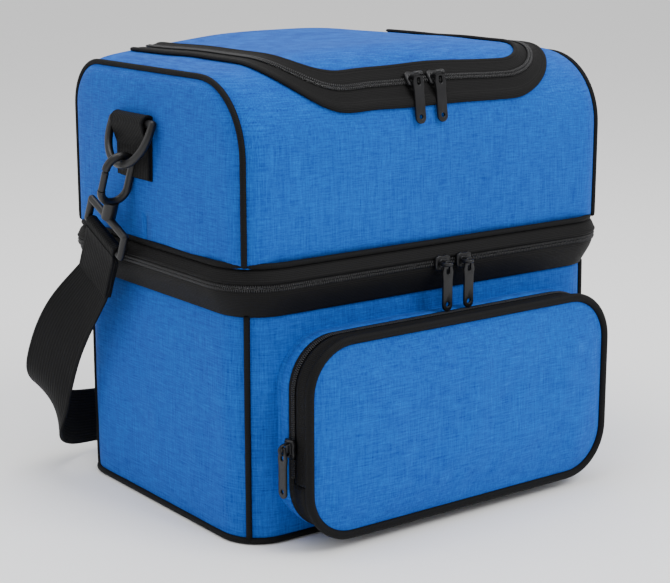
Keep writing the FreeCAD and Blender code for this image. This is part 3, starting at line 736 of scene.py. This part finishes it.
def mid_zip(tape, piping, coil):
    """Two folded tapes round the band, the binding over them and the coil between."""
    path, outs = band_path()
    ups = [Vector((0, 0, 1))] * len(path)
    reach = BAND_REACH
    low, split, high = LOWER_TOP, SPLIT, UPPER_LOW
    lower = in_mm([(0.4, -1), (1.4, -0.8), (2.2, 1), (4.4, 5), (7.0, 9.5)], 0, low)
    lower += in_mm([(-0.6, 13)], reach, low)
    lower += in_mm([(0, -3), (0.1, -0.7), (-1.4, -0.7), (-1.6, -4)], reach, split)
    lower += in_mm([(2.5, 6), (0.3, 3)], 0, low)
    piece = swept("mid_tape_lower", path, outs, ups, lower, tape)
    settle(smooth_more(piece), "lower", ("mid_zip_tape_lower",))
    upper = in_mm([(-1.5, 0.7), (0.2, 0.7), (0.4, 2.6), (1.5, 3.0), (1.7, 4.2), (0.7, 5.0)], reach, split)
    upper += in_mm([(-0.4, -3.6), (-2.2, -1.6), (-5.2, -0.8), (-5.4, -2.2)], reach, high)
    upper += in_mm([(-2.4, 4)], reach, split)
    piece = swept("mid_tape_upper", path, outs, ups, upper, tape)
    settle(smooth_more(piece), "upper", ("mid_zip_tape_upper",))
    cord_path = [p + Vector((0, 0, high + 0.2 * MM)) + out * (reach - 3.2 * MM) for p, out in zip(path, outs)]
    welt = swept("mid_binding_cord", cord_path, outs, ups, tube_section(2.0 * MM), piping)
    settle(smooth_more(welt), "upper", ("mid_binding",))
    line = [p + Vector((0, 0, split)) + out * (reach + 0.3 * MM) for p, out in zip(path, outs)]
    for side, body, node in ((1, "upper", "mid_coil_upper"), (-1, "lower", "mid_coil_lower")):
        settle(teeth(node + "_teeth", line, outs, ups, side, coil), body, (node,))


def rear_hinge(tape):
    """Fabric strip across the back, between the lower and the upper compartment."""
    outline = spread(rounded_outline(LOWER_X + 3.6 * MM, LOWER_Y + 3.6 * MM, LOWER_CORNER), 5 * MM)[:-1]
    outs = sides_of(outline, True)
    kept = [(p, out) for p, out in zip(outline, outs) if p[1] > BAND_END - 4 * MM]
    kept.sort(key=lambda item: math.atan2(item[0][0], item[0][1]))
    path = [Vector((p[0], p[1], 0)) for p, _ in kept]
    ways = [Vector((out[0], out[1], 0)) for _, out in kept]
    low, high = LOWER_TOP - 1 * MM, UPPER_LOW + 1 * MM
    section = [(0.0, low + (high - low) * k / 14) for k in range(15)]
    strip = swept("rear_hinge_strip", path, ways, [Vector((0, 0, 1))] * len(path), section, tape,
                  closed_section=False, caps=False)
    thick(strip, 1.5 * MM)
    baked(strip)
    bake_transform(strip)
    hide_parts("rear_hinge_lower", "rear_hinge_upper")


# ---- front pocket

POCKET_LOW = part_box("pocket_gusset")[0]
POCKET_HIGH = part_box("pocket_gusset")[1]
POCKET_CORNER = 30 * MM
POCKET_FLAP_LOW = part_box("pocket_coil_front")[0].z
POCKET_COIL_Y = (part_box("pocket_coil_front")[1].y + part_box("pocket_coil_rear")[0].y) / 2
POCKET_RIM_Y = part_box("pocket_piping")[1].y
POCKET_FACE_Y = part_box("pocket_piping")[0].y
POCKET_PIPING_Y = (POCKET_RIM_Y + POCKET_FACE_Y) / 2


def pocket_outline(grow):
    """Closed outline of the pocket as (x, z), starting from the middle of its top."""
    half_x = (POCKET_HIGH.x - POCKET_LOW.x) / 2 + grow
    half_z = (POCKET_HIGH.z - POCKET_LOW.z) / 2 + grow
    middle = (POCKET_HIGH.z + POCKET_LOW.z) / 2
    points = spread(rounded_outline(half_x, half_z, POCKET_CORNER + grow, 12), 5 * MM)[:-1]
    return [(x, z + middle) for x, z in points]


def pocket_ring(grow, y, wave):
    """The pocket's outline at one depth, grown and gently waved."""
    ring = []
    base = pocket_outline(0.0)
    outs = sides_of(base, True)
    for (x, z), out in zip(base, outs):
        place = Vector((x, y, z))
        push = grow + ruffle(place, wave, 45.0, 1)
        ring.append(Vector((x + out[0] * push, y, z + out[1] * push)))
    return ring


def trimmed(piece, height, above):
    """Cuts a piece off level at a height, keeping what is above or below, and closes the cut."""
    bm = bmesh.new()
    bm.from_mesh(piece.data)
    bmesh.ops.bisect_plane(bm, geom=bm.verts[:] + bm.edges[:] + bm.faces[:], plane_co=(0, 0, height),
                           plane_no=(0, 0, 1), clear_inner=above, clear_outer=not above)
    bmesh.ops.holes_fill(bm, edges=[edge for edge in bm.edges if edge.is_boundary], sides=0)
    bm.to_mesh(piece.data)
    bm.free()
    return piece


def pocket_wall(name, rows, material, depth=1.3 * MM):
    """A cloth wall through rows of growth in mm, depth and wave in mm."""
    wall = loft(name, [pocket_ring(grow * MM, y, wave * MM) for grow, y, wave in rows], material)
    thick(wall, depth)
    return baked(wall)


def pocket(fabric, tape, piping, coil):
    pocket_gusset(fabric)
    pocket_tapes(tape)
    pocket_rim(piping)
    pocket_front(fabric)
    pocket_coils(coil)


def pocket_gusset(fabric):
    back = -LOWER_Y + 1.5 * MM
    end = POCKET_LOW.y
    seam = back + (end - back) * 0.35
    rows = [(0.6, back, 0), (0.2, back - 2 * MM, 0.6), (0.8, seam, 0.8), (-0.2, seam - 0.8 * MM, 0.8),
            (1.0, seam - 3 * MM, 1.0), (0.9, end + 1.5 * MM, 0.8), (0, end - 0.6 * MM, 0.4)]
    gusset = pocket_wall("pocket_gusset_cloth", rows, fabric)
    settle(gusset, "lower", ("pocket_gusset",))


def pocket_tapes(tape):
    """The zip's tape on the gusset, the strip below the zip, and the tape on the flap."""
    end, coil_y = POCKET_LOW.y, POCKET_COIL_Y
    rear = [(-0.1, end, 0.2), (0.7, end - 0.3 * MM, 0), (0.9, end - 1.6 * MM, 0),
            (0.2, end - 1.9 * MM, 0), (0.2, coil_y + 0.5 * MM, 0)]
    rear_tape = pocket_wall("pocket_tape_rear", rear, tape, 1.0 * MM)
    settle(smooth_more(rear_tape), "lower", ("pocket_zip_tape_rear",))
    base = [(0.2, coil_y + 0.5 * MM, 0), (0.2, coil_y - 6 * MM, 0), (0.4, POCKET_RIM_Y + 1.6 * MM, 0)]
    base_cloth = pocket_wall("pocket_base_cloth", base, tape, 1.2 * MM)
    strip = trimmed(base_cloth, POCKET_FLAP_LOW - 0.6 * MM, above=False)
    settle(strip, "lower", ("pocket_base_strip",))
    front = [(0.2, coil_y - 0.5 * MM, 0), (0.3, coil_y - 3 * MM, 0), (1.0, coil_y - 3.2 * MM, 0),
             (1.1, coil_y - 4.8 * MM, 0), (0.6, coil_y - 5.4 * MM, 0.2), (0.7, coil_y - 9 * MM, 0.3),
             (0.2, POCKET_RIM_Y - 1.0 * MM, 0)]
    front_cloth = pocket_wall("pocket_tape_front", front, tape, 1.2 * MM)
    front_tape = trimmed(front_cloth, POCKET_FLAP_LOW, above=True)
    settle(front_tape, "pocket_flap", ("pocket_zip_tape_front",))


def pocket_ways():
    """Outward directions along the pocket's outline."""
    return [Vector((a, 0, b)) for a, b in sides_of(pocket_outline(0.2 * MM), True)]


def pocket_rim(piping):
    path = [Vector((x, POCKET_PIPING_Y, z)) for x, z in pocket_outline(0.2 * MM)]
    ups = [Vector((0, 1, 0))] * len(path)
    section = tube_section(2.9 * MM, 12)
    welt = swept("pocket_piping_cord", path, pocket_ways(), ups, section, piping, closed=True)
    settle(smooth_more(welt), "pocket_flap", ("pocket_piping",))


def pocket_coils(coil):
    """Both halves of the coil along the part of the outline that the zip opens."""
    outs = pocket_ways()
    line = [Vector((x, POCKET_COIL_Y, z)) for x, z in pocket_outline(0.9 * MM)]
    kept = [index for index, p in enumerate(line) if p.z > POCKET_FLAP_LOW]
    start = next(i for i in kept if (i - 1) % len(line) not in kept)
    order = [(start + k) % len(line) for k in range(len(kept))]
    run = [line[i] for i in order]
    ways = [outs[i] for i in order]
    ups = [Vector((0, 1, 0))] * len(run)
    for side, body, node in ((1, "lower", "pocket_coil_rear"), (-1, "pocket_flap", "pocket_coil_front")):
        half = teeth(node + "_teeth", run, ways, ups, side, coil, 1.3 * MM, 2.0 * MM)
        settle(half, body, (node,))


def border_distance(x, z, half_x, half_z, radius):
    """How far a point lies inside a rounded rectangle round the origin."""
    out_x, out_z = abs(x) - half_x + radius, abs(z) - half_z + radius
    return radius - math.hypot(max(out_x, 0.0), max(out_z, 0.0)) - min(max(out_x, out_z), 0.0)


def pocket_front(fabric):
    """Crowned front panel: pulled in at the piping, full in the middle."""
    inset = 2.2 * MM
    half_x = (POCKET_HIGH.x - POCKET_LOW.x) / 2 - inset
    half_z = (POCKET_HIGH.z - POCKET_LOW.z) / 2 - inset
    radius = POCKET_CORNER - inset
    middle = (POCKET_HIGH.z + POCKET_LOW.z) / 2
    deep = 46 * MM
    fullness = 5.6 * MM
    half_rows, half_columns = 36, 60
    rings = []
    for row in range(2 * half_rows + 1):
        z = half_z * math.sin(math.pi / 2 * (row / half_rows - 1))
        rise_in = max(0.0, abs(z) - half_z + radius)
        reach = half_x - radius + math.sqrt(max(radius * radius - rise_in * rise_in, 0.0))
        ring = []
        for column in range(2 * half_columns + 1):
            x = reach * math.sin(math.pi / 2 * (column / half_columns - 1))
            share = min(max(border_distance(x, z, half_x, half_z, radius), 0.0) / deep, 1.0)
            y = POCKET_PIPING_Y - 0.4 * MM - fullness * (1 - (1 - share) ** 3.0)
            place = Vector((x, y, middle + z))
            fade = min(share * 6.0, 1.0)
            place.y += (ruffle(place, 2.0 * MM, 24.0, 8.0) + ruffle(place, 0.7 * MM, 70.0, 9.0)) * fade
            ring.append(place)
        rings.append(ring)
    panel = loft("pocket_front_cloth", rings, fabric, close_ring=False)
    thick(panel, 1.2 * MM)
    baked(panel)
    settle(panel, "pocket_flap", ("pocket_front_panel",))


# ---- zip sliders and pulls

PIN_STAND = 7.2 * MM
PULL_LENGTH = 29 * MM
PULL_HALF = 3.3 * MM


def turned(axis, degrees):
    return Quaternion(axis, math.radians(degrees)).to_matrix()


def flat_shape(name, outlines, depth, bevel, material):
    """A flat plate cut from closed outlines, holes included, with rounded edges; it lies in X and Y."""
    data = bpy.data.curves.new(name, "CURVE")
    data.dimensions = "2D"
    data.fill_mode = "BOTH"
    data.extrude = depth / 2 - bevel
    data.bevel_depth = bevel
    data.bevel_resolution = 2
    for outline in outlines:
        spline = data.splines.new("POLY")
        spline.points.add(len(outline) - 1)
        for point, (x, y) in zip(spline.points, outline):
            point.co = (x, y, 0, 1)
        spline.use_cyclic_u = True
    holder = bpy.data.objects.new(name, data)
    bpy.context.collection.objects.link(holder)
    graph = bpy.context.evaluated_depsgraph_get()
    graph.update()
    mesh = bpy.data.meshes.new_from_object(holder.evaluated_get(graph))
    bpy.data.objects.remove(holder)
    bm = bmesh.new()
    bm.from_mesh(mesh)
    bpy.data.meshes.remove(mesh)
    bmesh.ops.remove_doubles(bm, verts=bm.verts, dist=1e-6)
    return finish_mesh(bm, name, material)


def pull_tab(name, pin, turn, material, body, node):
    """Long zip pull: a rounded plate with a window at the bridge and a round hole at its free end."""
    half = PULL_HALF
    end = -PULL_LENGTH + half
    right_side = [(half * 0.96, -10 * MM), (half * 1.12, -5 * MM)]
    left_side = [(-x, y) for x, y in reversed(right_side)]
    top = arc((1.0 * MM, 0.3 * MM), 1.3 * MM, 0, 90, 5) + arc((-1.0 * MM, 0.3 * MM), 1.3 * MM, 90, 180, 5)
    outline = arc((0, end), half, 180, 360, 12) + right_side + top + left_side
    window = arc((0, -4.9 * MM), 1.9 * MM, 180, 360, 8)
    window += in_mm([(1.7, -1.8), (1.0, -1.2), (-1.0, -1.2), (-1.7, -1.8)])
    hole = arc((0, end + 0.5 * MM), 1.85 * MM, 0, 345, 16)
    plate = flat_shape(name, [outline, window, hole], 1.7 * MM, 0.45 * MM, material)
    plate.data.transform(Matrix.Translation(pin) @ (turn @ turned((1, 0, 0), 90)).to_4x4())
    return settle(plate, body, (node,))


def slider_bridge(material):
    """The arch over the slider that the pull hangs from."""
    steps = 16
    half, foot, rise = 3.4 * MM, 3.4 * MM, 6.3 * MM
    path = []
    for k in range(steps + 1):
        turn = math.pi * k / steps
        path.append(Vector((-half * math.cos(turn), 0, foot + rise * math.sin(turn) ** 0.7)))
    ups = [Vector((0, 1, 0))] * len(path)
    outs = []
    for index in range(len(path)):
        way = (path[min(index + 1, steps)] - path[max(index - 1, 0)]).normalized()
        outs.append(way.cross(Vector((0, 1, 0))).normalized())
    section = [(a * 0.75, b * 1.2) for a, b in tube_section(1.0 * MM, 10)]
    return swept("slider_bridge", path, outs, ups, section, material)


def slider_body(name, centre, turn, material, body, node):
    """Zip slider: a waisted shield plate, a smaller crown on it and the bridge that holds the pull."""
    upper_side = [(-4.9, 3.2), (-3.0, 4.1), (0, 3.5), (3.0, 4.1), (4.9, 3.2), (5.1, 0)]
    outline = upper_side + [(-x, -y) for x, y in upper_side]
    plate = flat_shape(name, [in_mm(outline)], 2.4 * MM, 0.7 * MM, material)
    plate.data.transform(Matrix.Translation((0, 0, 2.0 * MM)))
    crown_outline = [(x * 0.62 * MM, y * 0.55 * MM) for x, y in outline]
    crown = flat_shape("slider_crown", [crown_outline], 1.4 * MM, 0.5 * MM, material)
    crown.data.transform(Matrix.Translation((0, 0, 3.3 * MM)))
    bridge = slider_bridge(material)
    for item in (plate, crown, bridge):
        item.data.transform(Matrix.Translation(centre) @ (turn @ turned((1, 0, 0), 90)).to_4x4())
    return joined(name, [plate, crown, bridge], body, (node,))


def zip_hardware(metal):
    """Sliders and pulls; those on the lid lie with its slope."""
    leans = (("mid_left", 0, 0), ("mid_right", 0, 0), ("lid_left", -34, -8), ("lid_right", -34, -8))
    for word, lean, tip in leans:
        pin = pivot(word + "_pull_lift")
        turn = turned((1, 0, 0), lean)
        centre = pin - turn @ Vector((0, -PIN_STAND, 0))
        slider_body(word + "_slider_body", centre, turn, metal, word + "_slider", word + "_slider")
        pull_tab(word + "_pull_tab", pin, turned((1, 0, 0), tip), metal, word + "_pull", word + "_pull")
    pin = pivot("pocket_pull_lift")
    side = turned((0, 0, 1), -90)
    centre = pin + Vector((PIN_STAND, 0, 0))
    facing = side @ turned((0, 1, 0), 90)
    slider_body("pocket_slider_body", centre, facing, metal, "pocket_slider", "pocket_slider")
    pull_tab("pocket_pull_tab", pin, side, metal, "pocket_pull", "pocket_pull")


# ---- strap and fittings

def spline_points(points, steps):
    """A smooth line through given points."""
    result = []
    for index in range(len(points) - 1):
        p0 = points[max(index - 1, 0)]
        p1, p2 = points[index], points[index + 1]
        p3 = points[min(index + 2, len(points) - 1)]
        for step in range(steps):
            u = step / steps
            result.append(0.5 * ((2 * p1) + (p2 - p0) * u + (2 * p0 - 5 * p1 + 4 * p2 - p3) * u * u +
                                 (3 * p1 - p0 - 3 * p2 + p3) * u ** 3))
    return result + [points[-1]]


def web_section(half, thickness):
    """Webbing cut across: flat, with rolled selvedges a little thicker than its middle."""
    t = thickness / 2
    top = [(-half + 0.3 * MM, t * 0.8), (-half + 1.2 * MM, t * 1.25), (-half + 2.6 * MM, t)]
    top += [(-half + 2.6 * MM + (2 * half - 5.2 * MM) * k / 8, t) for k in range(1, 8)]
    top += [(half - 2.6 * MM, t), (half - 1.2 * MM, t * 1.25), (half - 0.3 * MM, t * 0.8)]
    return top + [(a, -b) for a, b in reversed(top)]


def ribbon(name, points, widths, half, thickness, material, steps=8):
    """Webbing whose middle follows a line and whose width follows given directions."""
    path = spline_points([Vector(p) for p in points], steps)
    across = spline_points([Vector(w) for w in widths], steps)
    rings = []
    section = web_section(half, thickness)
    for index, place in enumerate(path):
        way = (path[min(index + 1, len(path) - 1)] - path[max(index - 1, 0)]).normalized()
        wide = (across[index] - way * across[index].dot(way)).normalized()
        normal = way.cross(wide)
        rings.append([place + wide * a + normal * b for a, b in section])
    length = sum((b - a).length for a, b in zip(path, path[1:]))
    return loft(name, rings, material, caps=True), length


def strap(webbing):
    """One continuous band from hook to hook, behind the bag, and its end folds."""
    hook = pivot("strap_level")
    hook_low, hook_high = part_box("snap_hook_left")
    left = Vector((hook_low.x * 0.5 + hook_high.x * 0.5, hook.y, hook.z))
    down = Vector((0, math.sin(HOOK_LEAN), -math.cos(HOOK_LEAN)))
    wide = Vector((0, math.cos(HOOK_LEAN), math.sin(HOOK_LEAN)))
    edge, back = -LOWER_X, LOWER_Y
    points = [left + down * 4.5 * MM, left + down * 18 * MM, left + down * 32 * MM]
    course = [(-27, -32, 112), (-29, -14, 85), (-25, 3, 57), (-8, 17, 32), (24, 25, 25), (80, 23, 23)]
    points += [Vector((edge + x * MM, back + y * MM, z * MM)) for x, y, z in course]
    points.append(Vector((0, back + 22 * MM, 23 * MM)))
    tilts = [(-0.4, 0.85, 0.42), (-0.5, 0.75, 0.45), (-0.45, 0.55, 0.72),
             (0, 0.3, 0.95), (0, 0.05, 1), (0, 0, 1), (0, 0, 1)]
    widths = [wide] * 3 + [Vector(tilt) for tilt in tilts]
    points += [Vector((-p.x, p.y, p.z)) for p in reversed(points[:-1])]
    widths += [Vector((-w.x, w.y, w.z)) for w in reversed(widths[:-1])]
    band, length = ribbon("shoulder_strap", points, widths, WEB_HALF, WEB_THICK, webbing)
    smooth_more(band)
    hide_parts("strap_webbing")
    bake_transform(band)
    for side, word in ((-1, "left"), (1, "right")):
        strap_fold(side, word, Vector((side * abs(left.x), left.y, left.z)), down, wide, webbing)


def strap_fold(side, word, bar, down, wide, webbing):
    """The strap's end, folded round the bar of its hook and laid back on itself."""
    half = 18.6 * MM
    sideways = Vector((side, 0, 0))
    loop = []
    for k in range(13):
        turn = math.radians(-60 + 300 * k / 12) + math.pi / 2
        loop.append(bar + (sideways * math.cos(turn) - down * math.sin(turn)) * 3.6 * MM)
    aside = Vector((side * 1.5 * MM, 0, 0))
    distances = (8, 16, 26, 34)
    tail = [bar + down * d * MM + aside for d in reversed(distances)]
    head = [bar + down * d * MM - aside for d in distances]
    route = tail + loop + head
    fold, length = ribbon("strap_fold_" + word, route, [wide] * len(route), half, 1.5 * MM, webbing, 3)
    settle(fold, "hooks")


def tabs(webbing):
    """Side tabs: webbing sewn to the end panel and folded over the straight bar of the D ring."""
    for side, word in ((-1, "left"), (1, "right")):
        low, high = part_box("ring_tab_" + word)
        y = (low.y + high.y) / 2
        bar = pivot("ring_swing_" + word)
        skin = side * (UPPER_X + 2.6 * MM)
        radius = 4.2 * MM
        under = [Vector((skin, y, low.z + (bar.z - low.z) * k / 5)) for k in range(6)]
        loop = []
        for degrees in (160, 130, 100, 70, 40, 10, -20):
            turn = math.radians(degrees)
            loop.append(Vector((bar.x + side * radius * math.cos(turn), y, bar.z + radius * math.sin(turn))))
        over = [Vector((skin + side * 4.2 * MM, y, bar.z - 8 * MM)),
                Vector((skin + side * 2.1 * MM, y, bar.z - 14 * MM))]
        drop = bar.z - 17 * MM - low.z
        over += [Vector((skin + side * 2.0 * MM, y, bar.z - 16 * MM - drop * k / 4)) for k in range(5)]
        route = under + loop + over
        widths = [Vector((0, 1, 0))] * len(route)
        tab, length = ribbon("tab_" + word, route, widths, WEB_HALF, WEB_THICK, webbing, 4)
        settle(tab, "upper", ("ring_tab_" + word,))


def paint_nodes(finishes):
    """CAD pieces that keep their shape get their finish."""
    for node, material in finishes.items():
        piece = frame["nodes"][node]
        piece.data.materials.clear()
        piece.data.materials.append(material)


def build():
    camera()
    studio()
    fabric = heather_fabric()
    webbing = woven_black("ribbed_webbing", (0.0012, 0.0012, 0.0013, 1), (0.009, 0.009, 0.0095, 1),
                          "across", 1.9 * MM, 0.5)
    tape = woven_black("zip_tape_cloth", (0.0014, 0.0013, 0.0014, 1), (0.010, 0.0098, 0.010, 1),
                       "across", 1.2 * MM, 0.35)
    piping = woven_black("piping_cloth", (0.0012, 0.0012, 0.0013, 1), (0.008, 0.008, 0.0085, 1),
                         "along", 1.0 * MM, 0.3)
    # coil colours: the coil's own near-black, lightened above the tape's black as a painted highlight
    # standing in for the glints along its turns
    coil = moulded("coil_nylon", (0.006, 0.006, 0.0065, 1), (0.036, 0.036, 0.038, 1), 0.34)
    metal = moulded("black_zip_metal", (0.003, 0.003, 0.0035, 1), (0.016, 0.016, 0.018, 1), 0.28, 0.3)
    plastic = moulded("black_plastic", (0.002, 0.002, 0.0023, 1), (0.010, 0.010, 0.011, 1), 0.36)
    foil = foil_lining()
    foam = foam_stuff()
    lower_shell(fabric, piping)
    tree = upper_shell(fabric, piping)
    lining("body_foam", -1.6 * MM, 5.6 * MM, foam, "upper_foam", "lid_foam")
    lining("body_liner", -7.4 * MM, 1.0 * MM, foil, "upper_liner", "lid_liner")
    lid_zip(tree, tape, coil)
    mid_zip(tape, piping, coil)
    rear_hinge(tape)
    pocket(fabric, tape, piping, coil)
    zip_hardware(metal)
    tabs(webbing)
    strap(webbing)
    finishes = {node: foam for node in ("lower_foam", "base_board")}
    finishes.update({node: foil for node in ("lower_liner", "divider_panel")})
    finishes["strap_adjuster"] = plastic
    for word in ("left", "right"):
        finishes.update({node + word: plastic for node in ("d_ring_", "snap_hook_", "hook_gate_")})
    finishes["base_panel"] = fabric
    paint_nodes(finishes)


build()
